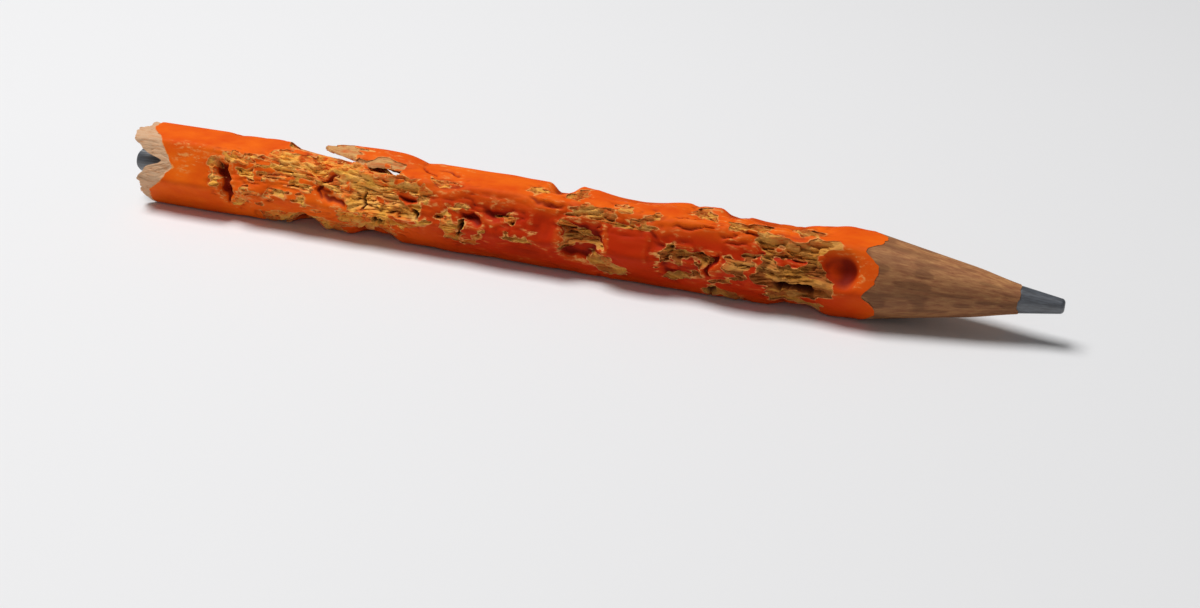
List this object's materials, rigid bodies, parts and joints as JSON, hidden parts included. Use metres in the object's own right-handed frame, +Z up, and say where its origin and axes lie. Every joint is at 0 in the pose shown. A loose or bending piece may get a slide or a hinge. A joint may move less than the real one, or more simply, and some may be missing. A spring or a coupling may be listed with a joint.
{
  "type": "pencil stub",
  "caption": "Chewed stub of a hexagonal wooden pencil, lying on a flat: torn orange lacquer, gnawed wood, a raised splinter, a broken rear end and a sharpened graphite point.",
  "frame": {"origin": "middle of the stub's length and width, on the surface that its bottom flat lies on", "axes": "+X along the pencil from the broken rear end to the point, +Z up from the bottom flat to the top flat"},
  "size_m": [0.0886, 0.0078, 0.0076],
  "materials": {
    "cedar": "gnawed and split, with raised fibres; sharpened smooth at the point",
    "graphite": "fired graphite and clay, satin, worn at the point",
    "lacquer": "dipped orange lacquer, semi-gloss, dented and torn"
  },
  "bodies": {
    "root": {"upper_slat": "cedar", "lower_slat": "cedar", "graphite_lead": "graphite", "lacquer_coat": "lacquer"}
  },
  "joints": []
}
